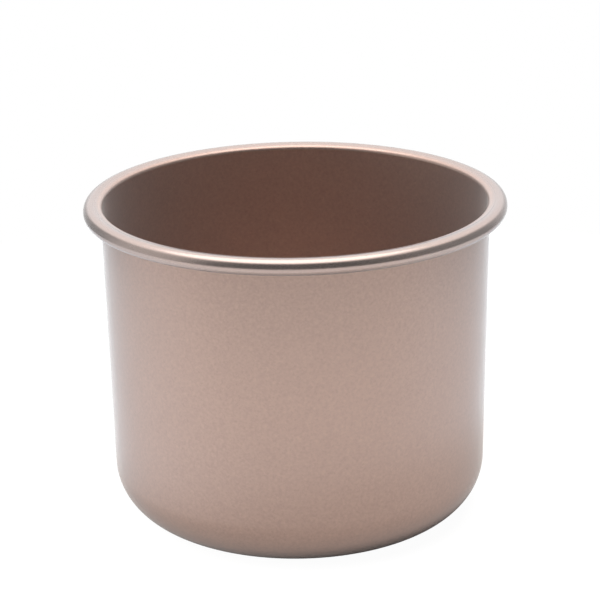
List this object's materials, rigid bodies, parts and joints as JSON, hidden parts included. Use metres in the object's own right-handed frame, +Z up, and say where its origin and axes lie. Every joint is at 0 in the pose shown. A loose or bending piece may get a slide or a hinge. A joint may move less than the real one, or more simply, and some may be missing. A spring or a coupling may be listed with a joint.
{
  "type": "loose-bottom baking pan",
  "caption": "Deep round baking pan of sheet steel with a curled rim, a well-rounded bottom corner and a loose stepped bottom plate that lifts out.",
  "frame": {"origin": "centre of the base, on the plane that the pan stands on", "axes": "+Z up along the pan's axis, from the base to the mouth; X and Y are equivalent"},
  "size_m": [0.1118, 0.1118, 0.087],
  "materials": {
    "shell_coating": "satin metallic non-stick coating, rose taupe",
    "plate_coating": "satin metallic non-stick coating, rose taupe"
  },
  "bodies": {
    "shell": {"pan_shell": "shell_coating"},
    "bottom": {"loose_bottom": "plate_coating"}
  },
  "joints": [
    {"name": "bottom_lift", "type": "slide", "parent": "shell", "child": "bottom", "axis": [0, 0, 1], "range_m": [0, 0.095]}
  ]
}
